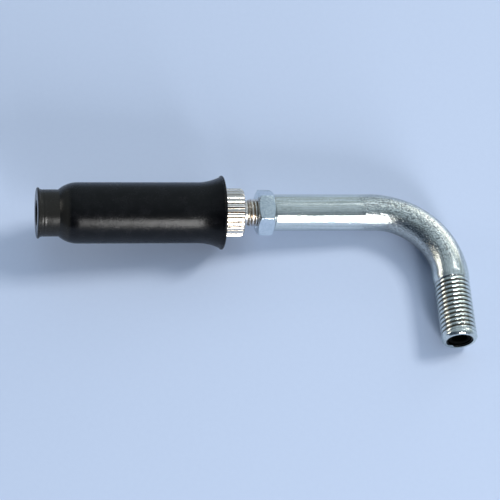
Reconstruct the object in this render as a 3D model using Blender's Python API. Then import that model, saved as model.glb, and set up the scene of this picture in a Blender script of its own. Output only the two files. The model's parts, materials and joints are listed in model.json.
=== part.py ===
"""Right-angle cable elbow with a knurled cable adjuster, a lock nut and a rubber boot.

The parts are laid out along the cable's own line: the tube's inlet end is the zero,
the tube bends away towards +X and its threaded leg points along -Y, and the adjuster
and the boot follow one another towards -X.  One empty then lays the whole assembly on
its resting surface: the leg lies flat on it and the boot's lip touches it, so the
cable line rises a little towards the boot.
"""

import math

import bmesh
import bpy
from mathutils import Vector

MM = 0.001
SEGMENTS = 48            # sides of a round piece
LINER_SEGMENTS = 24      # sides of the liner, which is seen only at its end
BEND_STEPS = 12          # rings around the bend
ARC_STEPS = 5            # points on a rounded outline
SHARP_ANGLE = math.radians(35)

# Elbow tube: 8 mm steel tube with an M8 x 1 thread on the leg and an M6 x 0.75 inlet.
TUBE_RADIUS = 4.0 * MM
TUBE_BORE_RADIUS = 2.6 * MM
INLET_LENGTH = 22.0 * MM
BEND_RADIUS = 16.0 * MM
LEG_LENGTH = 16.0 * MM
TIP_CHAMFER = 0.4 * MM
MOUTH_RADIUS = 2.95 * MM
MOUTH_DEPTH = 0.35 * MM
INLET_BORE_RADIUS = 3.1 * MM
INLET_BORE_DEPTH = 16.5 * MM
INLET_CHAMFER = 0.25 * MM

# Liner that the inner wire runs on around the bend.
LINER_RADIUS = 2.3 * MM
LINER_BORE_RADIUS = 1.6 * MM
LINER_START = 17.2 * MM
LINER_SETBACK = 0.5 * MM

# Faces that touch on the real part stand this far apart.
FACE_GAP = 0.3 * MM

# Lock nut, M6 x 0.75, 9 mm across flats.
NUT_ACROSS_FLATS = 9.0 * MM
NUT_THICKNESS = 3.5 * MM
NUT_BORE_RADIUS = 3.1 * MM
NUT_CORNER_ANGLE = math.radians(14.5)
NUT_FACE_RADIUS = 4.3 * MM
NUT_CHAMFER_SLOPE = math.tan(math.radians(30))

# Adjuster: hollow screw with a knurled head and a barrel that takes the cable casing.
THREAD_RADIUS = 3.0 * MM
THREAD_CORE_RADIUS = 2.55 * MM
SHANK_LENGTH = 18.8 * MM
RELIEF_LENGTH = 1.0 * MM
WIRE_HOLE_RADIUS = 1.3 * MM
HEAD_TO_INLET = 6.8 * MM
HEAD_RADIUS = 5.32 * MM
HEAD_LENGTH = 8.4 * MM
HEAD_CHAMFER = 0.35 * MM
BARREL_RADIUS = 4.5 * MM
BARREL_LENGTH = 8.8 * MM
CASING_BORE_RADIUS = 3.1 * MM
CASING_BORE_DEPTH = 12.0 * MM
KNURL_TEETH = 30
KNURL_DEPTH = 0.4 * MM
KNURL_OPENING = 0.9      # width of a groove at the head's surface, as a part of the pitch

# Rubber boot, measured from its mouth towards the cable.
BOOT_TO_INLET = 11.2 * MM
BOOT_LENGTH = 40.6 * MM
BOOT_BODY_RADIUS = 6.65 * MM
BOOT_BORE_RADIUS = 5.62 * MM
LIP_RADIUS = 8.1 * MM
LIP_ROUND = 0.3 * MM
LIP_WALL = 1.3 * MM
FLARE_LENGTH = 5.6 * MM
SHOULDER_START = 31.7 * MM
SHOULDER_ARC_RADIUS = 6.4 * MM
NECK_RADIUS = 5.1 * MM
NECK_BORE_RADIUS = 2.8 * MM
RIM_RADIUS = 5.55 * MM
RIM_ROUND = 0.32 * MM
HOLLOW_END = 34.1 * MM


def clear_scene():
    """Remove everything that the new file opens with."""
    for obj in list(bpy.data.objects):
        bpy.data.objects.remove(obj, do_unlink=True)


def plain_material(name, color, roughness, metallic):
    """A Principled material with one colour."""
    material = bpy.data.materials.new(name)
    material.use_nodes = True
    shader = material.node_tree.nodes["Principled BSDF"]
    shader.inputs["Base Color"].default_value = (*color, 1.0)
    shader.inputs["Roughness"].default_value = roughness
    shader.inputs["Metallic"].default_value = metallic
    material.diffuse_color = (*color, 1.0)
    return material


def add_object(name, mesh_edit, parent, material=None):
    """Turn an edited mesh into a named object under its parent."""
    bmesh.ops.recalc_face_normals(mesh_edit, faces=mesh_edit.faces)
    mesh = bpy.data.meshes.new(name)
    mesh_edit.to_mesh(mesh)
    mesh_edit.free()
    mesh.shade_smooth()
    mesh.set_sharp_from_angle(angle=SHARP_ANGLE)
    obj = bpy.data.objects.new(name, mesh)
    bpy.context.collection.objects.link(obj)
    obj.parent = parent
    if material:
        mesh.materials.append(material)
    return obj


def arc(centre, radius, start, end, steps=ARC_STEPS):
    """Points (along, out) on an arc, both ends included, angles in radians."""
    points = []
    for step in range(steps + 1):
        angle = start + (end - start) * step / steps
        points.append((centre[0] + radius * math.cos(angle),
                       centre[1] + radius * math.sin(angle)))
    return points


def turned(outline):
    """Spin a closed outline of (along X, distance from X) points into one ring of wall."""
    edit = bmesh.new()
    profile = [edit.verts.new((along, 0.0, out)) for along, out in outline]
    edges = [edit.edges.new((profile[i - 1], profile[i])) for i in range(len(profile))]
    bmesh.ops.spin(edit, geom=profile + edges, cent=(0, 0, 0), axis=(1, 0, 0),
                   angle=math.tau, steps=SEGMENTS, use_merge=True)
    return edit


def cutter(obj):
    """Hide a shape that only cuts its neighbour."""
    obj.hide_render = True
    obj.display_type = "WIRE"
    return obj


def add_boolean(obj, operation, tool):
    """Cut or intersect one object with another."""
    modifier = obj.modifiers.new(operation.lower() + "_" + tool.name, "BOOLEAN")
    modifier.operation = operation
    modifier.object = tool


def rest_tilt():
    """Angle of the cable line when the leg lies flat and the boot's lip touches down."""
    lever = INLET_LENGTH + BEND_RADIUS + BOOT_TO_INLET + LIP_ROUND
    lip_centre = LIP_RADIUS - LIP_ROUND
    reach = math.hypot(lever, lip_centre)
    drop = TUBE_RADIUS - LIP_ROUND
    return math.acos(drop / reach) - math.atan2(lever, lip_centre)


def lay_down():
    """Empty that carries the assembly, with the world origin under its box's centre."""
    tilt = rest_tilt()
    leg_x = INLET_LENGTH + BEND_RADIUS
    rim_x = -(BOOT_TO_INLET + BOOT_LENGTH - RIM_ROUND)
    right = leg_x * math.cos(tilt) + TUBE_RADIUS
    left = (rim_x * math.cos(tilt) - (RIM_RADIUS - RIM_ROUND) * math.sin(tilt)
            - RIM_ROUND)
    back = LIP_RADIUS
    front = -(BEND_RADIUS + LEG_LENGTH)
    base = bpy.data.objects.new("assembly_base", None)
    bpy.context.collection.objects.link(base)
    base.location = (-(left + right) / 2, -(back + front) / 2,
                     TUBE_RADIUS + leg_x * math.sin(tilt))
    base.rotation_euler = (0, tilt, 0)
    return base


def on_centreline(distance):
    """Point on the tube's centreline and the direction that it runs in there."""
    bend_length = BEND_RADIUS * math.pi / 2
    if distance <= INLET_LENGTH:
        return Vector((distance, 0, 0)), Vector((1, 0, 0))
    turn = min((distance - INLET_LENGTH) / BEND_RADIUS, math.pi / 2)
    point = Vector((INLET_LENGTH + BEND_RADIUS * math.sin(turn),
                    BEND_RADIUS * (math.cos(turn) - 1), 0))
    forward = Vector((math.cos(turn), -math.sin(turn), 0))
    past_bend = max(distance - INLET_LENGTH - bend_length, 0.0)
    return point + forward * past_bend, forward


def bend_stations():
    """Distances along the centreline of the rings that shape the bend."""
    bend_length = BEND_RADIUS * math.pi / 2
    return [INLET_LENGTH + bend_length * step / BEND_STEPS
            for step in range(BEND_STEPS + 1)]


def swept(outline, segments):
    """Carry a closed outline of (distance along, radius) points around the centreline."""
    edit = bmesh.new()
    rings = []
    for distance, radius in outline:
        point, forward = on_centreline(distance)
        side = forward.cross(Vector((0, 0, 1)))
        ring = []
        for step in range(segments):
            angle = math.tau * step / segments
            offset = side * math.cos(angle) + Vector((0, 0, 1)) * math.sin(angle)
            ring.append(edit.verts.new(point + offset * radius))
        rings.append(ring)
    for ring, previous in zip(rings, rings[-1:] + rings[:-1]):
        for step in range(segments):
            edit.faces.new((previous[step - 1], previous[step], ring[step], ring[step - 1]))
    return edit


def make_elbow_tube(base, material):
    """Bent tube: threaded leg at full diameter, inlet bored out for the adjuster."""
    tip = INLET_LENGTH + BEND_RADIUS * math.pi / 2 + LEG_LENGTH
    outside = [(0.0, TUBE_RADIUS - INLET_CHAMFER), (INLET_CHAMFER, TUBE_RADIUS)]
    outside += [(distance, TUBE_RADIUS) for distance in bend_stations()]
    outside += [(tip - TIP_CHAMFER, TUBE_RADIUS), (tip, TUBE_RADIUS - TIP_CHAMFER)]
    inside = [(tip, MOUTH_RADIUS), (tip - MOUTH_DEPTH, TUBE_BORE_RADIUS)]
    inside += [(distance, TUBE_BORE_RADIUS) for distance in reversed(bend_stations())]
    inside += [(INLET_BORE_DEPTH + INLET_BORE_RADIUS - TUBE_BORE_RADIUS, TUBE_BORE_RADIUS),
               (INLET_BORE_DEPTH, INLET_BORE_RADIUS), (0.0, INLET_BORE_RADIUS)]
    return add_object("elbow_tube", swept(outside + inside, SEGMENTS), base, material)


def make_cable_liner(base, material):
    """Thin tube inside the elbow, from the end of the inlet thread to the outlet."""
    end = INLET_LENGTH + BEND_RADIUS * math.pi / 2 + LEG_LENGTH - LINER_SETBACK
    stations = [LINER_START] + bend_stations() + [end]
    outside = [(distance, LINER_RADIUS) for distance in stations]
    inside = [(distance, LINER_BORE_RADIUS) for distance in reversed(stations)]
    wall = swept(outside + inside, LINER_SEGMENTS)
    return add_object("cable_liner", wall, base, material)


def make_lock_nut(base, material):
    """Hexagon nut with both faces chamfered, standing against the tube's inlet end."""
    corner = NUT_ACROSS_FLATS / math.sqrt(3)
    edit = bmesh.new()
    corners = []
    for step in range(6):
        angle = NUT_CORNER_ANGLE + math.tau * step / 6
        corners.append(edit.verts.new((0, corner * math.cos(angle),
                                       corner * math.sin(angle))))
    face = edit.faces.new(corners)
    extruded = bmesh.ops.extrude_face_region(edit, geom=[face])
    moved = [item for item in extruded["geom"] if isinstance(item, bmesh.types.BMVert)]
    bmesh.ops.translate(edit, verts=moved, vec=(-NUT_THICKNESS, 0, 0))
    nut = add_object("lock_nut", edit, base, material)
    nut.location = (-FACE_GAP, 0, 0)

    # A blank with coned ends, bored for the thread, trims the corners and the hole.
    rise = (corner + MM - NUT_FACE_RADIUS) * NUT_CHAMFER_SLOPE
    blank = cutter(add_object("nut_blank", turned([
        (0.0, NUT_BORE_RADIUS), (0.0, NUT_FACE_RADIUS), (-rise, corner + MM),
        (rise - NUT_THICKNESS, corner + MM), (-NUT_THICKNESS, NUT_FACE_RADIUS),
        (-NUT_THICKNESS, NUT_BORE_RADIUS)]), base))
    blank.location = nut.location
    add_boolean(nut, "INTERSECT", blank)
    return nut


def knurl_grooves():
    """A ring of V-shaped bars that cut the straight knurl."""
    outer = HEAD_RADIUS + KNURL_DEPTH
    groove = HEAD_RADIUS - KNURL_DEPTH
    half_width = math.tau * HEAD_RADIUS / KNURL_TEETH * KNURL_OPENING
    edit = bmesh.new()
    for tooth in range(KNURL_TEETH):
        angle = math.tau * (tooth + 0.5) / KNURL_TEETH
        out = Vector((0, math.cos(angle), math.sin(angle)))
        across = Vector((0, -math.sin(angle), math.cos(angle)))
        section = [out * groove, out * outer + across * half_width,
                   out * outer - across * half_width]
        face = edit.faces.new([edit.verts.new(point + Vector((MM, 0, 0)))
                               for point in section])
        extruded = bmesh.ops.extrude_face_region(edit, geom=[face])
        moved = [item for item in extruded["geom"] if isinstance(item, bmesh.types.BMVert)]
        bmesh.ops.translate(edit, verts=moved, vec=(-HEAD_LENGTH - 2 * MM, 0, 0))
    return edit


def make_adjuster(base, material):
    """Hollow screw: threaded shank, knurled head, barrel bored for the cable casing."""
    rear = -HEAD_LENGTH - BARREL_LENGTH
    seat = rear + CASING_BORE_DEPTH
    edge = HEAD_CHAMFER
    outline = [
        (SHANK_LENGTH, WIRE_HOLE_RADIUS),
        (SHANK_LENGTH, THREAD_CORE_RADIUS),
        (SHANK_LENGTH - (THREAD_RADIUS - THREAD_CORE_RADIUS), THREAD_RADIUS),
        (RELIEF_LENGTH + (THREAD_RADIUS - THREAD_CORE_RADIUS), THREAD_RADIUS),
        (RELIEF_LENGTH, THREAD_CORE_RADIUS),
        (0.0, THREAD_CORE_RADIUS),
        (0.0, HEAD_RADIUS - edge),
        (-edge, HEAD_RADIUS),
        (edge - HEAD_LENGTH, HEAD_RADIUS),
        (-HEAD_LENGTH, HEAD_RADIUS - edge),
        (-HEAD_LENGTH, BARREL_RADIUS),
        (rear + edge, BARREL_RADIUS),
        (rear, BARREL_RADIUS - edge),
        (rear, CASING_BORE_RADIUS + edge),
        (rear + edge, CASING_BORE_RADIUS),
        (seat, CASING_BORE_RADIUS),
        (seat, WIRE_HOLE_RADIUS),
    ]
    adjuster = add_object("adjuster_screw", turned(outline), base, material)
    adjuster.location = (-HEAD_TO_INLET, 0, 0)
    grooves = cutter(add_object("knurl_grooves", knurl_grooves(), base))
    grooves.location = adjuster.location
    add_boolean(adjuster, "DIFFERENCE", grooves)
    return adjuster


def flare_arc(start, start_radius, length, rise):
    """Concave arc that leaves a cylinder tangentially and rises towards the mouth."""
    radius = (length ** 2 + rise ** 2) / (2 * rise)
    sweep = math.asin(length / radius)
    return arc((start, start_radius + radius), radius, -math.pi / 2, sweep - math.pi / 2)


def make_rubber_boot(base, material):
    """Moulded sleeve: flared lip, long body, rounded shoulder, neck and end bead."""
    lip_centre = (-LIP_ROUND, LIP_RADIUS - LIP_ROUND)
    flare_start = -FLARE_LENGTH
    flare = flare_arc(flare_start, BOOT_BODY_RADIUS, FLARE_LENGTH - 2 * LIP_ROUND,
                      LIP_RADIUS - LIP_ROUND - BOOT_BODY_RADIUS)
    lip = arc(lip_centre, LIP_ROUND, math.pi, 0.0)

    shoulder_centre = (-SHOULDER_START, BOOT_BODY_RADIUS - SHOULDER_ARC_RADIUS)
    sweep = math.acos((NECK_RADIUS - shoulder_centre[1]) / SHOULDER_ARC_RADIUS)
    shoulder = arc(shoulder_centre, SHOULDER_ARC_RADIUS,
                   math.pi / 2 + sweep, math.pi / 2)

    rim_centre = (RIM_ROUND - BOOT_LENGTH, RIM_RADIUS - RIM_ROUND)
    rim = arc(rim_centre, RIM_ROUND, math.pi, 0.0)
    rim_foot = (rim[-1][0] + RIM_ROUND, NECK_RADIUS)

    outside = rim + [rim_foot] + shoulder + flare + lip
    mouth_radius = LIP_RADIUS - LIP_WALL
    inner_flare = flare_arc(flare_start, BOOT_BORE_RADIUS, FLARE_LENGTH,
                            mouth_radius - BOOT_BORE_RADIUS)
    hollow_round = BOOT_BORE_RADIUS - NECK_BORE_RADIUS
    hollow_end = arc((-HOLLOW_END, NECK_BORE_RADIUS), hollow_round,
                     math.pi / 2, math.pi)
    inside = list(reversed(inner_flare)) + hollow_end
    inside.append((-BOOT_LENGTH, NECK_BORE_RADIUS))
    boot = add_object("rubber_boot", turned(outside + inside), base, material)
    boot.location = (-BOOT_TO_INLET, 0, 0)
    return boot


def main():
    clear_scene()
    zinc = plain_material("zinc_steel", (0.62, 0.66, 0.70), 0.25, 1.0)
    nickel = plain_material("nickel_steel", (0.66, 0.62, 0.55), 0.30, 1.0)
    rubber = plain_material("black_rubber", (0.012, 0.012, 0.014), 0.55, 0.0)
    liner = plain_material("black_nylon", (0.010, 0.010, 0.010), 0.45, 0.0)
    nut_zinc = plain_material("nut_zinc", (0.64, 0.67, 0.70), 0.22, 1.0)

    base = lay_down()
    make_elbow_tube(base, zinc)
    make_cable_liner(base, liner)
    make_lock_nut(base, nut_zinc)
    make_adjuster(base, nickel)
    make_rubber_boot(base, rubber)


main()
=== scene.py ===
"""The looks of the cable elbow: its detailed pieces, the floor, the light and the camera.

Every piece is built along the cable's own line and then laid into the frame: zero is the
tube's inlet end, +X runs into the tube, the leg points along -Y, and the adjuster and the
boot follow one another towards -X.
"""

import json
import math

import bmesh
import bpy
from mathutils import Matrix, Vector


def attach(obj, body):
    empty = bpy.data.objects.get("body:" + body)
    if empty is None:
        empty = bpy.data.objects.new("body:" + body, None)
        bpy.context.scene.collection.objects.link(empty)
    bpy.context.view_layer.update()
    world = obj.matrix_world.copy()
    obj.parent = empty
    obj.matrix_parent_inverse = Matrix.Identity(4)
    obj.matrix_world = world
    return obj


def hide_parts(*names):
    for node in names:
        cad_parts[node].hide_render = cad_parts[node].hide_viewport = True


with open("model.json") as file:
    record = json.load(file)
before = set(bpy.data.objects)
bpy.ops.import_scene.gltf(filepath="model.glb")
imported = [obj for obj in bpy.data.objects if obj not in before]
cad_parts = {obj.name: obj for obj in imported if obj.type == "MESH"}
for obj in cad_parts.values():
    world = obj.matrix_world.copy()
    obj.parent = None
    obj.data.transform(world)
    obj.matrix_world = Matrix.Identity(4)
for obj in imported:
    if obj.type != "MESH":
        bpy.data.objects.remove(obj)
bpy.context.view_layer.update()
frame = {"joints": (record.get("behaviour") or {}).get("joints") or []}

MM = 0.001

# The cable line, from the joint that the adjuster turns on.
SCREW = next(joint for joint in frame["joints"] if joint["name"] == "screw_turn")
INWARD = -Vector(SCREW["axis"]).normalized()
BACK = Vector((0, 1, 0))
CABLE_LINE = Matrix.Translation(SCREW["pos_m"]) @ Matrix(
    (INWARD, BACK, INWARD.cross(BACK))).transposed().to_4x4()

# Elbow tube.
TUBE_RADIUS = 4.0 * MM
BORE_RADIUS = 2.6 * MM
INLET_LENGTH = 22.0 * MM
BEND_RADIUS = 16.0 * MM
LEG_LENGTH = 16.0 * MM
BEND_LENGTH = BEND_RADIUS * math.pi / 2
TIP = INLET_LENGTH + BEND_LENGTH + LEG_LENGTH
INLET_BORE_RADIUS = 3.05 * MM
INLET_BORE_DEPTH = 16.5 * MM
INLET_EDGE = 0.25 * MM
INLET_SINK = 0.3 * MM            # countersink at the mouth of the inlet
INLET_SINK_DEPTH = 0.4 * MM
MOUTH_RADIUS = 2.95 * MM
MOUTH_DEPTH = 0.35 * MM
BURR_ANGLE = math.radians(150)
BURR_WIDTH = math.radians(22)
BURR_HEIGHT = 0.55 * MM
BURR_THICKNESS = 0.1 * MM
TIP_CHAMFER = 0.4 * MM
BEND_OVALITY = 0.045
OVAL_BUILDUP = 0.2               # part of the bend over which it turns oval
BEND_WEAR = 3 * MM               # the bend's roughness comes in over this length and
#                                  goes out over twice this length
BEND_WEAR_REST = 0.1             # what is left of it on the straight parts
LEG_PITCH = 1.0 * MM
LEG_THREAD_RADIUS = 3.88 * MM
LEG_THREAD_DEPTH = 0.45 * MM
LEG_THREAD_LENGTH = 13.6 * MM
COLLAR_LENGTH = 1.0 * MM
COLLAR_RADIUS = 3.88 * MM
LEG_THREAD_RINGS = 14            # rings of vertices for each turn of the thread
TUBE_SIDES = 128
BEND_STEPS = 64

# Threads: half widths of the flat crest and root, as parts of the pitch.
THREAD_CREST = 0.16
THREAD_ROOT = 0.07
THREAD_SHOULDER = 0.15 * MM      # step between a thread and the plain surface beside it

# Lock nut.
NUT_ACROSS_FLATS = 9.0 * MM
NUT_FAR_FACE = -3.8 * MM
NUT_NEAR_FACE = -0.03 * MM
NUT_CORNER_ANGLE = math.radians(14.5)
NUT_FACE_RADIUS = 4.25 * MM
NUT_BORE_RADIUS = 3.03 * MM
NUT_SINK = 0.4 * MM
NUT_CONE_ANGLE = math.radians(30)
NUT_CONE_SIDES = 60
NUT_EDGE = 0.1 * MM
NUT_SLIVER = 0.02 * MM           # shorter edges than this are merged away
NUT_FLAT_ANGLE = math.radians(0.5)
NUT_EDGE_ANGLE = math.radians(20)
NUT_SHARP_ANGLE = math.radians(60)

# Adjuster.
HEAD_FACE = -6.8 * MM
HEAD_RADIUS = 5.32 * MM
HEAD_LENGTH = 8.4 * MM
HEAD_CHAMFER = 0.35 * MM
KNURL_TEETH = 30
KNURL_SAMPLES = 12               # vertices for each tooth
KNURL_DEPTH = 0.38 * MM
KNURL_GROOVE_SHARE = 0.42        # groove's width as a part of the pitch
KNURL_FLANK_POWER = 1.15         # over 1: the groove's flanks are slightly rounded
KNURL_CROWN = 0.14 * MM          # fall of the crests' rounding by the middle of a groove
KNURL_SHADE_DEPTH = 0.1 * MM      # painted shade lies deeper in the grooves than this
BARREL_RADIUS = 4.5 * MM
BARREL_LENGTH = 8.8 * MM
CASING_BORE_RADIUS = 3.1 * MM
CASING_BORE_DEPTH = 12.0 * MM
WIRE_HOLE_RADIUS = 1.3 * MM
SHANK_LENGTH = 18.8 * MM
SHANK_RADIUS = 3.0 * MM
SHANK_CORE_RADIUS = 2.55 * MM
SHANK_SIDES = 120
SHANK_PITCH = 0.75 * MM
SHANK_THREAD_RINGS = 12          # rings of vertices for each turn of the thread
SHANK_RUN_IN = 0.8               # length of the thread's run-in over its rise
SHANK_UNSHADED = 0.1 * MM           # crests stay free of painted shade down to this depth
RELIEF_LENGTH = 1.0 * MM
RELIEF_RADIUS = 2.7 * MM
RELIEF_FILLET = 0.12 * MM

# Liner.
LINER_RADIUS = 2.56 * MM
LINER_BORE_RADIUS = 1.7 * MM
LINER_START = 17.2 * MM
LINER_SETBACK = 0.45 * MM
LINER_ROUND = 0.25 * MM
LINER_SIDES = 64
LINER_BEND_STEPS = 40

# Boot.
BOOT_MOUTH = -11.2 * MM
BOOT_LENGTH = 40.6 * MM
BOOT_SIDES = 160
BODY_RADIUS = 6.65 * MM
BOOT_BORE_RADIUS = 5.62 * MM
LIP_RADIUS = 8.1 * MM
LIP_ROUND = 0.3 * MM
LIP_WALL = 1.3 * MM
FLARE_LENGTH = 5.6 * MM
SHOULDER_START = 31.7 * MM
SHOULDER_ARC_RADIUS = 6.4 * MM
NECK_RADIUS = 5.1 * MM
NECK_BORE_RADIUS = 2.8 * MM
RIM_RADIUS = 5.55 * MM
RIM_ROUND = 0.32 * MM
HOLLOW_END = 34.1 * MM
NECK_HOLE_EDGE = 0.2 * MM
# Fine mould lines beside the bead: distance from its foot, height over the neck.
NECK_LINES = ((0.0, 0.05 * MM), (0.2 * MM, 0.0), (0.45 * MM, 0.0), (0.6 * MM, 0.04 * MM),
              (0.75 * MM, 0.0))
NECK_PLAIN = 1.1 * MM            # where the plain part of the neck starts
NECK_TO_SHOULDER = 0.25 * MM     # and how far before the shoulder it ends
NECK_DUST_AND_SHEEN_FADE = (2.6 * MM, 1.8 * MM)    # past the shoulder's start: full dust and painted sheen, none

SHARP_ANGLE = math.radians(32)
EDGE_SOFTENING = 0.3             # middle point of a softened edge, as a part of its width

# Numbers that the vertices carry for the materials.
UNBENT = "unbent"
HOLLOW = "hollow"

# Painted shade: it darkens the metal between these depths below a crest,
# and bores are painted black as shade.
PAINTED_SHADE_DEPTHS = (0.06 * MM, 0.42 * MM)
BORE_DEPTHS = (0.6 * MM, 0.9 * MM)
BORE_PAINTED_SHADE = (0.008, 0.008, 0.007)

# Grain, in features per metre along the piece and in the two directions across it.
DRAWN_GRAIN = (110, 3600, 3600)
TUMBLED_GRAIN = (2600, 2600, 2600)
CLOUD_GRAIN = (420, 560, 560)
PIT_GRAIN = (2600, 3400, 3400)
PEEL_GRAIN = (3400, 4400, 4400)
RUBBER_GRAIN = (2600, 3600, 3600)
RUBBED_GRAIN = (380, 460, 460)
NYLON_GRAIN = (900, 3000, 3000)
PAPER_GRAIN = (900, 900, 900)
IN_METRES = (1, 1, 1)

# Surface relief of the materials.
CLOUD_RELIEF = 0.02 * MM
PIT_RELIEF = 0.01 * MM
PEEL_RELIEF = 0.08 * MM
PEEL_STAIN = (0.22, 0.23, 0.23)
RUBBED_RELIEF = 0.08 * MM
RUBBER_RELIEF = 0.03 * MM

# The room's light: its brightest direction (azimuth, elevation), the range of the cosine
# from it over which it goes from dark to light, and the two colours.
ROOM_HEADING = (48, 40)
ROOM_RANGE = (-0.15, 0.85)
ROOM_DARK = (0.05, 0.07, 0.105)
ROOM_LIGHT = (0.50, 0.60, 0.68)
FLOOR_HALF_WIDTH = 1.2

# The view: the turn takes the cable line's directions to the camera's, and the offset is
# where the tube's inlet end lies as the camera sees it (right, up, towards it).
VIEW_LENS = 172.8
VIEW_SENSOR = 36.0
VIEW_CLIP = 0.01
VIEW_AZIMUTH = math.radians(-18.94)
VIEW_ELEVATION = math.radians(59.37)
VIEW_ROLL = math.radians(-16.22)
VIEW_OFFSET = (5.02 * MM, 8.19 * MM, -525.9 * MM)
VIEW_TURN = (Matrix.Rotation(VIEW_ROLL, 3, "Z")
             @ Matrix.Rotation(VIEW_ELEVATION - math.pi / 2, 3, "X")
             @ Matrix.Rotation(-VIEW_AZIMUTH, 3, "Z"))


# ---------------------------------------------------------------- mesh helpers

def on_centreline(distance):
    """Point on the tube's centreline, and the direction that it runs in there."""
    turn = min(max(distance - INLET_LENGTH, 0.0) / BEND_RADIUS, math.pi / 2)
    if turn == 0.0:
        return Vector((distance, 0, 0)), Vector((1, 0, 0))
    point = Vector((INLET_LENGTH + BEND_RADIUS * math.sin(turn),
                    BEND_RADIUS * (math.cos(turn) - 1), 0))
    forward = Vector((math.cos(turn), -math.sin(turn), 0))
    past_bend = max(distance - INLET_LENGTH - BEND_LENGTH, 0.0)
    return point + forward * past_bend, forward


def on_axis(distance):
    """The same for a straight piece on the cable line."""
    return Vector((distance, 0, 0)), Vector((1, 0, 0))


def float_layer(layers, name):
    """The named layer of vertex numbers, made when it isn't there."""
    return layers.get(name) or layers.new(name)


def add_ring(edit, place, distance, sides, radius_at, crest):
    """A ring of vertices around a line. Angles run right-handed about the line.

    Each vertex also keeps its place on the piece as if the line were straight, for grain
    that follows the line, and how far it lies below the crest, for painted shade in
    hollows.
    """
    unbent = float_layer(edit.verts.layers.float_vector, UNBENT)
    hollow = float_layer(edit.verts.layers.float, HOLLOW)
    point, forward = place(distance)
    up = Vector((0, 0, 1))
    side = forward.cross(up)
    ring = []
    for step in range(sides):
        angle = math.tau * step / sides
        radius = radius_at(distance, angle)
        offset = up * math.cos(angle) + side * math.sin(angle)
        vertex = edit.verts.new(point + offset * radius)
        vertex[unbent] = (distance, radius * math.cos(angle), radius * math.sin(angle))
        vertex[hollow] = max(crest - radius, 0.0)
        ring.append(vertex)
    return ring


def join_rings(edit, first, second):
    """Faces between two rings. One may have a whole multiple of the other's vertices."""
    if len(first) < len(second):
        step = len(second) // len(first)
        for i in range(len(first)):
            near = [first[i], first[(i + 1) % len(first)]]
            far = [second[(i * step + k) % len(second)] for k in range(step, -1, -1)]
            edit.faces.new(near + far)
    elif len(first) > len(second):
        join_rings(edit, second, first)
    else:
        count = len(first)
        for i in range(count):
            j = (i + 1) % count
            edit.faces.new((first[i], first[j], second[j], second[i]))


def wall(rings, edit):
    """Close a list of rings into one ring of wall."""
    for i in range(len(rings)):
        join_rings(edit, rings[i - 1], rings[i])
    bmesh.ops.recalc_face_normals(edit, faces=edit.faces)


def constant(radius):
    """A radius that is the same all round."""
    return lambda distance, angle: radius


def turned_wall(outline, sides, place=on_axis):
    """Ring of wall from a closed outline of (distance along, radius) points."""
    edit = bmesh.new()
    rings = [add_ring(edit, place, along, sides, constant(out), out)
             for along, out in outline]
    wall(rings, edit)
    return edit


def arc(centre, radius, start, end, steps):
    """Points (along, out) on an arc, both ends included, angles in radians."""
    points = []
    for step in range(steps + 1):
        angle = start + (end - start) * step / steps
        points.append((centre[0] + radius * math.cos(angle),
                       centre[1] + radius * math.sin(angle)))
    return points


def spread(start, end, steps):
    """Evenly spaced values from start to end, both included."""
    return [start + (end - start) * step / steps for step in range(steps + 1)]


def smooth(share):
    """Ease from 0 to 1, held at both ends."""
    share = min(max(share, 0.0), 1.0)
    return share * share * (3 - 2 * share)


def thread_cut(distance, angle, pitch, depth, start, end):
    """How deep a right-hand thread cuts at a point, fading out at both of its ends."""
    phase = (distance / pitch - angle / math.tau) % 1.0
    from_root = 0.5 - abs(phase - 0.5)
    flank = 0.5 - THREAD_CREST - THREAD_ROOT
    cut = depth * (1 - smooth((from_root - THREAD_ROOT) / flank))
    fade = min((distance - start) / pitch, (end - distance) / pitch, 1.0)
    return cut * max(fade, 0.0)


def finish_piece(name, edit, body, material, node):
    """Lay an edited mesh into the frame as a piece that stands for a CAD node."""
    edit.transform(CABLE_LINE)
    mesh = bpy.data.meshes.new(name)
    edit.to_mesh(mesh)
    edit.free()
    mesh.shade_smooth()
    mesh.set_sharp_from_angle(angle=SHARP_ANGLE)
    mesh.materials.append(material)
    piece = bpy.data.objects.new(name, mesh)
    bpy.context.scene.collection.objects.link(piece)
    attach(piece, body)
    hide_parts(node)
    return piece


# ---------------------------------------------------------------- materials

def new_material(name):
    """An empty Principled material, and its nodes, links and shader."""
    material = bpy.data.materials.new(name)
    material.use_nodes = True
    nodes = material.node_tree.nodes
    return material, nodes, material.node_tree.links, nodes["Principled BSDF"]


def object_point(nodes, links, scale):
    """Coordinates fixed to the object, in metres times a scale."""
    return scaled(nodes, links, nodes.new("ShaderNodeTexCoord").outputs["Object"], scale)


def unbent_point(nodes, links, scale):
    """Coordinates on the straightened piece (along, up, across), times a scale."""
    attribute = nodes.new("ShaderNodeAttribute")
    attribute.attribute_name = UNBENT
    return scaled(nodes, links, attribute.outputs["Vector"], scale)


def scaled(nodes, links, vector, scale):
    """A vector times a scale for each of its axes."""
    mapping = nodes.new("ShaderNodeMapping")
    mapping.inputs["Scale"].default_value = scale
    links.new(vector, mapping.inputs["Vector"])
    return mapping.outputs["Vector"]


def add_noise(nodes, links, point, detail=4.0, roughness=0.55):
    """The value of a noise with features of about one unit."""
    texture = nodes.new("ShaderNodeTexNoise")
    texture.inputs["Scale"].default_value = 1.0
    texture.inputs["Detail"].default_value = detail
    texture.inputs["Roughness"].default_value = roughness
    links.new(point, texture.inputs["Vector"])
    return texture.outputs["Fac"]


def add_range(nodes, links, value, low, high, new_low, new_high):
    """Map a value from one range to another, held at both ends."""
    node = nodes.new("ShaderNodeMapRange")
    for socket, number in (("From Min", low), ("From Max", high),
                           ("To Min", new_low), ("To Max", new_high)):
        node.inputs[socket].default_value = number
    links.new(value, node.inputs["Value"])
    return node.outputs["Result"]


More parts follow.
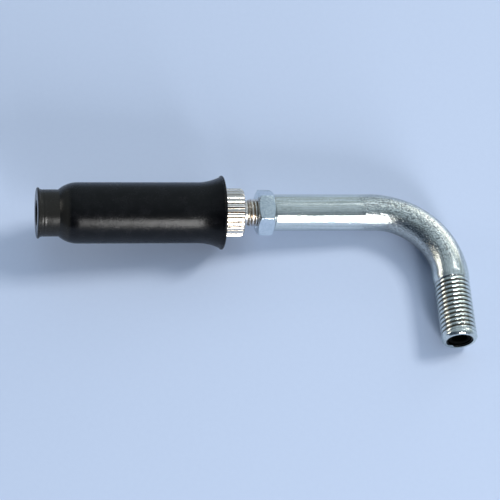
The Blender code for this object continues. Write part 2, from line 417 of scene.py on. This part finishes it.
def add_mix(nodes, links, factor, first, second):
    """Mix two colours by a value. The first may also come from another node."""
    node = nodes.new("ShaderNodeMix")
    node.data_type = "RGBA"
    if isinstance(first, tuple):
        node.inputs["A"].default_value = (*first, 1)
    else:
        links.new(first, node.inputs["A"])
    node.inputs["B"].default_value = (*second, 1)
    links.new(factor, node.inputs["Factor"])
    return node.outputs["Result"]


def add_bump(nodes, links, height, strength, distance, under=None):
    """A bump from a height, over another normal where one is given."""
    node = nodes.new("ShaderNodeBump")
    node.inputs["Strength"].default_value = strength
    node.inputs["Distance"].default_value = distance
    links.new(height, node.inputs["Height"])
    if under is not None:
        links.new(under, node.inputs["Normal"])
    return node.outputs["Normal"]


def add_math(nodes, links, operation, first, second):
    """The result of an operation on two values."""
    node = nodes.new("ShaderNodeMath")
    node.operation = operation
    links.new(first, node.inputs[0])
    links.new(second, node.inputs[1])
    return node.outputs[0]


def distance_along(nodes, links):
    """Distance along the straightened piece, in metres."""
    parts = nodes.new("ShaderNodeSeparateXYZ")
    links.new(unbent_point(nodes, links, IN_METRES), parts.inputs["Vector"])
    return parts.outputs["X"]


def bent_share(nodes, links, start, end):
    """How far bending has roughened the piece: 1 between two distances, less outside."""
    along = distance_along(nodes, links)
    begun = add_range(nodes, links, along, start - BEND_WEAR, start, BEND_WEAR_REST, 1)
    ended = add_range(nodes, links, along, end - 2 * BEND_WEAR, end, 1, BEND_WEAR_REST)
    return add_math(nodes, links, "MINIMUM", begun, ended)


def plated_metal(name, bright, dull, hollow, roughness, grain, relief,
                 place=unbent_point, bend=None):
    """Plated steel, mottled between a bright and a dull colour, with painted shade in its
    hollows.

    Its grain has the given fineness and relief. Between the two distances of a bend the
    surface is also stained and roughened by the bending.
    """
    material, nodes, links, shader = new_material(name)
    shader.inputs["Metallic"].default_value = 1.0
    streaks = add_noise(nodes, links, place(nodes, links, grain), 5, 0.7)
    clouds = add_noise(nodes, links, place(nodes, links, CLOUD_GRAIN), 3)
    pitting = add_noise(nodes, links, place(nodes, links, PIT_GRAIN), 4, 0.7)

    brightness = add_math(nodes, links, "ADD",
                          add_range(nodes, links, streaks, 0.36, 0.64, 0, 0.6),
                          add_range(nodes, links, pitting, 0.34, 0.66, 0, 0.4))
    color = add_mix(nodes, links, brightness, dull, bright)
    links.new(add_range(nodes, links, clouds, 0.3, 0.7,
                        roughness * 0.8, roughness * 1.25), shader.inputs["Roughness"])
    waves = add_bump(nodes, links, clouds, 0.5, CLOUD_RELIEF)
    drawn = add_bump(nodes, links, streaks, 1.0, relief, waves)
    normal = add_bump(nodes, links, pitting, 0.6, PIT_RELIEF, drawn)
    if bend is not None:
        bent = bent_share(nodes, links, *bend)
        peel = add_noise(nodes, links, place(nodes, links, PEEL_GRAIN), 1, 0.5)
        normal = add_bump(nodes, links, peel, 1.0, PEEL_RELIEF, normal)
        links.new(bent, normal.node.inputs["Strength"])
        spots = add_range(nodes, links, peel, 0.36, 0.52, 1, 0)
        stained = add_math(nodes, links, "MINIMUM", spots, bent)
        color = add_mix(nodes, links, stained, color, PEEL_STAIN)
    links.new(with_hollows(nodes, links, color, hollow), shader.inputs["Base Color"])
    links.new(normal, shader.inputs["Normal"])
    return material


def with_hollows(nodes, links, color, hollow):
    """A colour with painted shade: it turns to another in thread roots and grooves,
    and to black in bores.
    """
    attribute = nodes.new("ShaderNodeAttribute")
    attribute.attribute_name = HOLLOW
    for depths, below in ((PAINTED_SHADE_DEPTHS, hollow), (BORE_DEPTHS, BORE_PAINTED_SHADE)):
        shade_share = add_range(nodes, links, attribute.outputs["Fac"], *depths, 0, 1)
        color = add_mix(nodes, links, shade_share, color, below)
    return color


def black_rubber():
    """Moulded black rubber: fine grain, rubbed patches, and dust with a painted sheen on
    the neck.
    """
    material, nodes, links, shader = new_material("boot_rubber")
    shader.inputs["Specular IOR Level"].default_value = 0.21
    grain = add_noise(nodes, links, unbent_point(nodes, links, RUBBER_GRAIN), 4, 0.6)
    patches = add_noise(nodes, links, unbent_point(nodes, links, RUBBED_GRAIN), 5, 0.65)
    rubbed = add_range(nodes, links, patches, 0.45, 0.75, 0, 1)
    color = add_mix(nodes, links, rubbed, (0.001, 0.001, 0.0012), (0.004, 0.004, 0.005))
    shoulder = BOOT_MOUTH - SHOULDER_START
    full_dust_and_sheen, no_dust_and_sheen = (shoulder - past for past in NECK_DUST_AND_SHEEN_FADE)
    neck_dust_and_sheen = add_range(nodes, links, distance_along(nodes, links), full_dust_and_sheen, no_dust_and_sheen,
                        1, 0)
    # The neck's lighter colour is part dust, part painted sheen.
    links.new(add_mix(nodes, links, neck_dust_and_sheen, color, (0.013, 0.0125, 0.011)),
              shader.inputs["Base Color"])
    links.new(add_range(nodes, links, patches, 0.3, 0.7, 0.2, 0.31),
              shader.inputs["Roughness"])
    coarse = add_bump(nodes, links, patches, 0.4, RUBBED_RELIEF)
    links.new(add_bump(nodes, links, grain, 0.8, RUBBER_RELIEF, coarse),
              shader.inputs["Normal"])
    return material


def black_nylon():
    """Matt black plastic for the liner."""
    material, nodes, links, shader = new_material("liner_nylon")
    grain = add_noise(nodes, links, unbent_point(nodes, links, NYLON_GRAIN), 3)
    shader.inputs["Specular IOR Level"].default_value = 0.03
    color = add_mix(nodes, links, grain, (0.0005, 0.0005, 0.0005), (0.002, 0.002, 0.002))
    links.new(color, shader.inputs["Base Color"])
    links.new(add_range(nodes, links, grain, 0.3, 0.7, 0.5, 0.7),
              shader.inputs["Roughness"])
    return material


def paper():
    """Pale blue paper of the floor, with a barely visible fibre."""
    material, nodes, links, shader = new_material("floor_paper")
    fibre = add_noise(nodes, links, object_point(nodes, links, PAPER_GRAIN), 6, 0.6)
    links.new(add_mix(nodes, links, fibre, (0.455, 0.546, 0.73), (0.48, 0.573, 0.755)),
              shader.inputs["Base Color"])
    shader.inputs["Roughness"].default_value = 0.9
    shader.inputs["Specular IOR Level"].default_value = 0.2
    return material


# ---------------------------------------------------------------- pieces

def make_elbow(material):
    """Bent tube, a little oval in the bend, with an M8 x 1 thread cut on its leg."""
    thread_end = TIP - COLLAR_LENGTH
    thread_start = thread_end - LEG_THREAD_LENGTH

    def outer(distance, angle):
        around_bend = (distance - INLET_LENGTH) / BEND_LENGTH
        squash = smooth(min(around_bend, 1 - around_bend) / OVAL_BUILDUP)
        oval = 1 - BEND_OVALITY * squash * math.sin(angle) ** 2
        if distance <= thread_start:
            return TUBE_RADIUS * oval
        return LEG_THREAD_RADIUS - thread_cut(
            distance, angle, LEG_PITCH, LEG_THREAD_DEPTH, thread_start, thread_end)

    edit = bmesh.new()
    rings = []

    def add(distance, radius_at, crest):
        rings.append(add_ring(edit, on_centreline, distance, TUBE_SIDES, radius_at,
                              crest))

    def outer_rings(distances):
        for distance in distances:
            add(distance, outer,
                TUBE_RADIUS if distance < thread_start else LEG_THREAD_RADIUS)

    def plain_rings(outline, crest=0.0):
        for distance, radius in outline:
            add(distance, constant(radius), crest)

    def mouth(distance, angle):
        from_burr = abs(angle - BURR_ANGLE) / BURR_WIDTH
        return MOUTH_RADIUS - BURR_HEIGHT * smooth(1 - from_burr)

    softened = INLET_EDGE * EDGE_SOFTENING
    plain_rings([(0.0, TUBE_RADIUS - INLET_EDGE), (softened, TUBE_RADIUS - softened),
                 (INLET_EDGE, TUBE_RADIUS)])
    outer_rings(spread(INLET_EDGE * 2, INLET_LENGTH, 12))
    outer_rings(spread(INLET_LENGTH, INLET_LENGTH + BEND_LENGTH, BEND_STEPS)[1:])
    turns = (thread_end - thread_start) / LEG_PITCH
    outer_rings([thread_start - THREAD_SHOULDER])
    outer_rings(spread(thread_start, thread_end, round(turns * LEG_THREAD_RINGS))[1:])
    # The tip's chamfer, softened where it meets the collar and the end face.
    plain_rings([(TIP - TIP_CHAMFER * 1.2, COLLAR_RADIUS),
                 (TIP - TIP_CHAMFER, COLLAR_RADIUS - TIP_CHAMFER * 0.12),
                 (TIP - TIP_CHAMFER * 0.15, COLLAR_RADIUS - TIP_CHAMFER * 0.8),
                 (TIP, COLLAR_RADIUS - TIP_CHAMFER)])
    for distance in (TIP, TIP - BURR_THICKNESS):
        add(distance, mouth, 0.0)
    # Bore rings measure their depth from the tube's outside, so they are painted black as
    # shade.
    plain_rings([(TIP - BURR_THICKNESS * 1.6, MOUTH_RADIUS),
                 (TIP - MOUTH_DEPTH, BORE_RADIUS)], TUBE_RADIUS)
    plain_rings([(distance, BORE_RADIUS) for distance in
                 spread(INLET_LENGTH + BEND_LENGTH, INLET_LENGTH, BEND_STEPS // 2)],
                TUBE_RADIUS)
    plain_rings([(INLET_BORE_DEPTH + INLET_BORE_RADIUS - BORE_RADIUS, BORE_RADIUS),
                 (INLET_BORE_DEPTH, INLET_BORE_RADIUS),
                 (INLET_SINK_DEPTH, INLET_BORE_RADIUS),
                 (0.0, INLET_BORE_RADIUS + INLET_SINK)], TUBE_RADIUS)
    wall(rings, edit)
    return finish_piece("elbow", edit, "elbow", material, "elbow_tube")


def make_liner(material):
    """Black liner inside the tube, with a rounded end just inside the outlet."""
    end = TIP - LINER_SETBACK
    softened = LINER_ROUND * EDGE_SOFTENING
    stations = [LINER_START]
    stations += spread(INLET_LENGTH, INLET_LENGTH + BEND_LENGTH, LINER_BEND_STEPS)
    stations += [end - LINER_ROUND]
    outline = [(distance, LINER_RADIUS) for distance in stations]
    outline += [(end - softened, LINER_RADIUS - softened),
                (end, LINER_RADIUS - LINER_ROUND), (end, LINER_BORE_RADIUS + LINER_ROUND),
                (end - LINER_ROUND, LINER_BORE_RADIUS)]
    outline += [(distance, LINER_BORE_RADIUS) for distance in reversed(stations[:-1])]
    edit = turned_wall(outline, LINER_SIDES, on_centreline)
    return finish_piece("liner", edit, "elbow", material, "cable_liner")


def hexagon_blank(corner):
    """Hexagonal bar between the nut's two faces."""
    edit = bmesh.new()
    corners = []
    for step in range(6):
        angle = NUT_CORNER_ANGLE + math.tau * step / 6
        corners.append(edit.verts.new((NUT_NEAR_FACE, corner * math.cos(angle),
                                       corner * math.sin(angle))))
    face = edit.faces.new(corners)
    extruded = bmesh.ops.extrude_face_region(edit, geom=[face])
    moved = [item for item in extruded["geom"] if isinstance(item, bmesh.types.BMVert)]
    bmesh.ops.translate(edit, verts=moved, vec=(NUT_FAR_FACE - NUT_NEAR_FACE, 0, 0))
    bmesh.ops.recalc_face_normals(edit, faces=edit.faces)
    return edit


def in_fixed_order(mesh):
    """Edit a mesh with its parts in an order that depends only on where they are.

    A boolean gives the same shape in a different order each time that it runs.
    """
    order = sorted(range(len(mesh.vertices)), key=lambda i: mesh.vertices[i].co[:])
    rank = {old: new for new, old in enumerate(order)}
    faces = []
    for polygon in mesh.polygons:
        corners = [rank[old] for old in polygon.vertices]
        first = corners.index(min(corners))
        faces.append(corners[first:] + corners[:first])
    edit = bmesh.new()
    vertices = [edit.verts.new(mesh.vertices[old].co) for old in order]
    for corners in sorted(faces):
        edit.faces.new([vertices[i] for i in corners])
    return edit


def break_edges(mesh):
    """Clear a mesh of slivers and round all of its sharper edges a little."""
    edit = in_fixed_order(mesh)
    bmesh.ops.remove_doubles(edit, verts=edit.verts, dist=NUT_SLIVER)
    bmesh.ops.dissolve_limit(edit, angle_limit=NUT_FLAT_ANGLE, verts=edit.verts,
                             edges=edit.edges)
    sharp = [edge for edge in edit.edges if edge.calc_face_angle(0) > NUT_EDGE_ANGLE]
    bmesh.ops.bevel(edit, geom=sharp, offset=NUT_EDGE, offset_type="OFFSET", segments=3,
                    profile=0.5, affect="EDGES", clamp_overlap=True)
    edit.to_mesh(mesh)
    edit.free()


def make_nut(material):
    """Hexagon nut: coned at both ends, countersunk, with softly broken edges."""
    corner = NUT_ACROSS_FLATS / math.sqrt(3)
    piece = finish_piece("nut", hexagon_blank(corner), "lock_nut", material,
                         "lock_nut")
    beyond = corner + MM
    rise = (beyond - NUT_FACE_RADIUS) * math.tan(NUT_CONE_ANGLE)
    sunk_radius = NUT_BORE_RADIUS + NUT_SINK
    cone = turned_wall([
        (NUT_NEAR_FACE, sunk_radius), (NUT_NEAR_FACE, NUT_FACE_RADIUS),
        (NUT_NEAR_FACE - rise, beyond), (NUT_FAR_FACE + rise, beyond),
        (NUT_FAR_FACE, NUT_FACE_RADIUS), (NUT_FAR_FACE, sunk_radius),
        (NUT_FAR_FACE + NUT_SINK, NUT_BORE_RADIUS),
        (NUT_NEAR_FACE - NUT_SINK, NUT_BORE_RADIUS)], NUT_CONE_SIDES)
    cone.transform(CABLE_LINE)
    mesh = bpy.data.meshes.new("nut_cone")
    cone.to_mesh(mesh)
    cone.free()
    cone_object = bpy.data.objects.new("nut_cone", mesh)
    bpy.context.scene.collection.objects.link(cone_object)
    trim = piece.modifiers.new("cone", "BOOLEAN")
    trim.operation = "INTERSECT"
    trim.object = cone_object
    bpy.context.view_layer.update()
    trimmed = bpy.data.meshes.new_from_object(
        piece.evaluated_get(bpy.context.evaluated_depsgraph_get()))
    piece.modifiers.clear()
    piece.data = trimmed
    bpy.data.objects.remove(cone_object)
    break_edges(trimmed)
    trimmed.shade_smooth()
    trimmed.set_sharp_from_angle(angle=NUT_SHARP_ANGLE)
    return piece


def make_adjuster(material):
    """Hollow screw with a straight knurl on its head and a threaded shank."""
    head_end = HEAD_FACE - HEAD_LENGTH
    rear = head_end - BARREL_LENGTH
    seat = rear + CASING_BORE_DEPTH
    shank_end = HEAD_FACE + SHANK_LENGTH
    thread_start = HEAD_FACE + RELIEF_LENGTH
    head_sides = KNURL_TEETH * KNURL_SAMPLES

    def knurl(distance, angle):
        tooth = (angle * KNURL_TEETH / math.tau) % 1.0
        from_groove = abs(tooth - 0.5) * 2
        share = min(from_groove / KNURL_GROOVE_SHARE, 1.0)
        crest = (HEAD_RADIUS - KNURL_DEPTH * (1 - share) ** KNURL_FLANK_POWER
                 - KNURL_CROWN * (1 - from_groove) ** 2)
        from_face = min(HEAD_FACE - distance, distance - head_end)
        return min(crest, HEAD_RADIUS - HEAD_CHAMFER + from_face)

    def shank(distance, angle):
        cut = thread_cut(distance, angle, SHANK_PITCH, SHANK_RADIUS - SHANK_CORE_RADIUS,
                         thread_start, shank_end)
        taper = SHANK_CORE_RADIUS + min((distance - thread_start) / SHANK_RUN_IN,
                                        shank_end - distance)
        return min(SHANK_RADIUS - cut, max(taper, SHANK_CORE_RADIUS))

    edit = bmesh.new()
    rings = []

    def add(distance, sides, radius_at, crest):
        rings.append(add_ring(edit, on_axis, distance, sides, radius_at, crest))

    turns = (shank_end - thread_start) / SHANK_PITCH
    thread_rings = round(turns * SHANK_THREAD_RINGS)
    for distance in reversed(spread(thread_start, shank_end, thread_rings)):
        add(distance, SHANK_SIDES, shank, SHANK_RADIUS - SHANK_UNSHADED)
    for distance, radius in (
            (thread_start - THREAD_SHOULDER, RELIEF_RADIUS),
            (HEAD_FACE + RELIEF_FILLET, RELIEF_RADIUS),
            (HEAD_FACE, RELIEF_RADIUS + RELIEF_FILLET)):
        add(distance, SHANK_SIDES, constant(radius), 0.0)
    chamfer_steps = spread(0, HEAD_CHAMFER, 4)
    # The knurl's painted shade in its grooves is measured down from this radius.
    unshaded = HEAD_RADIUS - KNURL_SHADE_DEPTH
    for step in chamfer_steps:
        add(HEAD_FACE - step, head_sides, knurl, unshaded)
    for distance in spread(HEAD_FACE - 2 * HEAD_CHAMFER, head_end + 2 * HEAD_CHAMFER, 8):
        add(distance, head_sides, knurl, unshaded)
    for step in reversed(chamfer_steps):
        add(head_end + step, head_sides, knurl, unshaded)
    edge = HEAD_CHAMFER
    for distance, radius in (
            (head_end, BARREL_RADIUS), (rear + edge, BARREL_RADIUS),
            (rear, BARREL_RADIUS - edge), (rear, CASING_BORE_RADIUS + edge),
            (rear + edge, CASING_BORE_RADIUS), (seat, CASING_BORE_RADIUS),
            (seat, WIRE_HOLE_RADIUS), (shank_end, WIRE_HOLE_RADIUS)):
        add(distance, SHANK_SIDES, constant(radius), radius)
    wall(rings, edit)
    return finish_piece("adjuster_detail", edit, "adjuster", material,
                        "adjuster_screw")


def boot_outline():
    """Closed outline of the boot's wall, measured back from its mouth."""
    def flare(start_radius, length, rise, steps):
        radius = (length ** 2 + rise ** 2) / (2 * rise)
        sweep = math.asin(length / radius)
        return arc((-FLARE_LENGTH, start_radius + radius), radius,
                   -math.pi / 2, sweep - math.pi / 2, steps)

    lip = arc((-LIP_ROUND, LIP_RADIUS - LIP_ROUND), LIP_ROUND, math.pi * 0.9, 0.0, 10)
    outer_flare = flare(BODY_RADIUS, FLARE_LENGTH - 2 * LIP_ROUND,
                        LIP_RADIUS - LIP_ROUND - BODY_RADIUS, 14)
    shoulder_centre = (-SHOULDER_START, BODY_RADIUS - SHOULDER_ARC_RADIUS)
    sweep = math.acos((NECK_RADIUS - shoulder_centre[1]) / SHOULDER_ARC_RADIUS)
    shoulder = arc(shoulder_centre, SHOULDER_ARC_RADIUS, math.pi / 2 + sweep,
                   math.pi / 2, 16)
    body = [(along, BODY_RADIUS) for along in
            spread(-SHOULDER_START, -FLARE_LENGTH, 24)[1:-1]]
    rim = arc((RIM_ROUND - BOOT_LENGTH, RIM_RADIUS - RIM_ROUND), RIM_ROUND,
              math.pi, 0.0, 10)
    foot = rim[-1][0] + RIM_ROUND
    neck = [(foot + past, NECK_RADIUS + height) for past, height in NECK_LINES]
    neck += [(along, NECK_RADIUS) for along in
             spread(foot + NECK_PLAIN, shoulder[0][0] - NECK_TO_SHOULDER, 5)]
    outside = rim + neck + shoulder + body + outer_flare + lip
    inner_flare = flare(BOOT_BORE_RADIUS, FLARE_LENGTH,
                        LIP_RADIUS - LIP_WALL - BOOT_BORE_RADIUS, 12)
    hollow_end = arc((-HOLLOW_END, NECK_BORE_RADIUS), BOOT_BORE_RADIUS - NECK_BORE_RADIUS,
                     math.pi / 2, math.pi, 14)
    softened = NECK_HOLE_EDGE * EDGE_SOFTENING
    inside = list(reversed(inner_flare)) + hollow_end
    inside += [(-BOOT_LENGTH + NECK_HOLE_EDGE, NECK_BORE_RADIUS),
               (-BOOT_LENGTH + softened, NECK_BORE_RADIUS + softened),
               (-BOOT_LENGTH, NECK_BORE_RADIUS + NECK_HOLE_EDGE)]
    return outside + inside


def make_boot(material):
    """Moulded rubber sleeve with a flared lip, a narrow neck and a bead at its end."""
    edit = turned_wall([(BOOT_MOUTH + along, out) for along, out in boot_outline()],
                       BOOT_SIDES)
    return finish_piece("boot_detail", edit, "boot", material,
                        "rubber_boot")


# ---------------------------------------------------------------- stage

def make_floor(material):
    """Pale floor that the object lies on."""
    edit = bmesh.new()
    bmesh.ops.create_grid(edit, x_segments=1, y_segments=1, size=FLOOR_HALF_WIDTH)
    mesh = bpy.data.meshes.new("floor")
    edit.to_mesh(mesh)
    edit.free()
    mesh.materials.append(material)
    floor = bpy.data.objects.new("floor", mesh)
    bpy.context.scene.collection.objects.link(floor)


def heading(azimuth, elevation):
    """Direction at an angle from +X towards +Y and one above the floor, in degrees."""
    turn, rise = math.radians(azimuth), math.radians(elevation)
    return Vector((math.cos(turn) * math.cos(rise), math.sin(turn) * math.cos(rise),
                   math.sin(rise)))


def soft_box(name, azimuth, elevation, distance, size, radiance, color=(1, 1, 1)):
    """A rectangular light that faces the object, of a given brightness of surface."""
    light = bpy.data.lights.new(name, "AREA")
    light.shape = "RECTANGLE"
    light.size, light.size_y = size
    light.energy = radiance * math.pi * size[0] * size[1]
    light.color = color
    lamp = bpy.data.objects.new(name, light)
    bpy.context.scene.collection.objects.link(lamp)
    direction = heading(azimuth, elevation)
    lamp.location = direction * distance
    lamp.rotation_euler = (-direction).to_track_quat("-Z", "Y").to_euler()
    return lamp


def light_room():
    """A room that is light towards the right at the back and dark on the other side."""
    world = bpy.data.worlds.new("studio")
    world.use_nodes = True
    nodes, links = world.node_tree.nodes, world.node_tree.links
    facing = nodes.new("ShaderNodeVectorMath")
    facing.operation = "DOT_PRODUCT"
    facing.inputs[1].default_value = heading(*ROOM_HEADING)
    links.new(nodes.new("ShaderNodeTexCoord").outputs["Generated"], facing.inputs[0])
    share = add_range(nodes, links, facing.outputs["Value"], *ROOM_RANGE, 0, 1)
    color = add_mix(nodes, links, share, ROOM_DARK, ROOM_LIGHT)
    links.new(color, nodes["Background"].inputs["Color"])
    bpy.context.scene.world = world


def light_studio():
    """The main soft box behind on the right, and lower ones in front and at both sides.

    The main one throws the shadow and isn't mirrored in the metal, where the smaller
    glint stands in for it.
    """
    bpy.context.scene.view_settings.view_transform = "Standard"
    light_room()
    key = soft_box("key", 18, 43, 1.1, (0.30, 0.24), 33.0, (1.0, 0.94, 0.85))
    key.visible_glossy = False
    soft_box("glint", 24, 42, 1.1, (0.09, 0.09), 6.0)
    soft_box("lamp", 44, 52, 1.0, (0.13, 0.13), 5.0)
    soft_box("right", 47, 15, 0.8, (0.30, 0.32), 2.6, (1.0, 0.97, 0.88))
    soft_box("left", 163, 19, 0.75, (0.36, 0.15), 5.0, (1.0, 0.95, 0.86))
    soft_box("front", -74, 17, 0.8, (0.16, 0.38), 31.0)


def place_camera():
    """The camera at the photograph's viewing angle, set out from the cable line."""
    to_part = VIEW_TURN.inverted()
    camera_data = bpy.data.cameras.new("camera")
    camera_data.lens = VIEW_LENS
    camera_data.sensor_width = VIEW_SENSOR
    camera_data.clip_start = VIEW_CLIP
    camera = bpy.data.objects.new("camera", camera_data)
    bpy.context.scene.collection.objects.link(camera)
    camera.matrix_world = CABLE_LINE @ Matrix.Translation(
        to_part @ -Vector(VIEW_OFFSET)) @ to_part.to_4x4()
    bpy.context.scene.camera = camera


def main():
    """Build the whole scene."""
    # Each hollow colour is the painted shade of that metal's thread roots and grooves.
    zinc = plated_metal("tube_zinc", bright=(0.87, 0.91, 0.89), dull=(0.48, 0.52, 0.48),
                        hollow=(0.17, 0.15, 0.12), roughness=0.13, grain=DRAWN_GRAIN,
                        relief=0.03 * MM,
                        bend=(INLET_LENGTH - MM, INLET_LENGTH + BEND_LENGTH))
    nut_zinc = plated_metal("nut_zinc", bright=(0.80, 0.86, 0.88),
                            dull=(0.50, 0.58, 0.64), hollow=(0.2, 0.2, 0.2),
                            roughness=0.17, grain=TUMBLED_GRAIN, relief=0.04 * MM,
                            place=object_point)
    nickel = plated_metal("screw_nickel", bright=(0.88, 0.84, 0.78),
                          dull=(0.62, 0.56, 0.50), hollow=(0.30, 0.22, 0.14),
                          roughness=0.24, grain=DRAWN_GRAIN, relief=0.01 * MM)
    make_elbow(zinc)
    make_liner(black_nylon())
    make_nut(nut_zinc)
    make_adjuster(nickel)
    make_boot(black_rubber())
    make_floor(paper())
    light_studio()
    place_camera()


main()
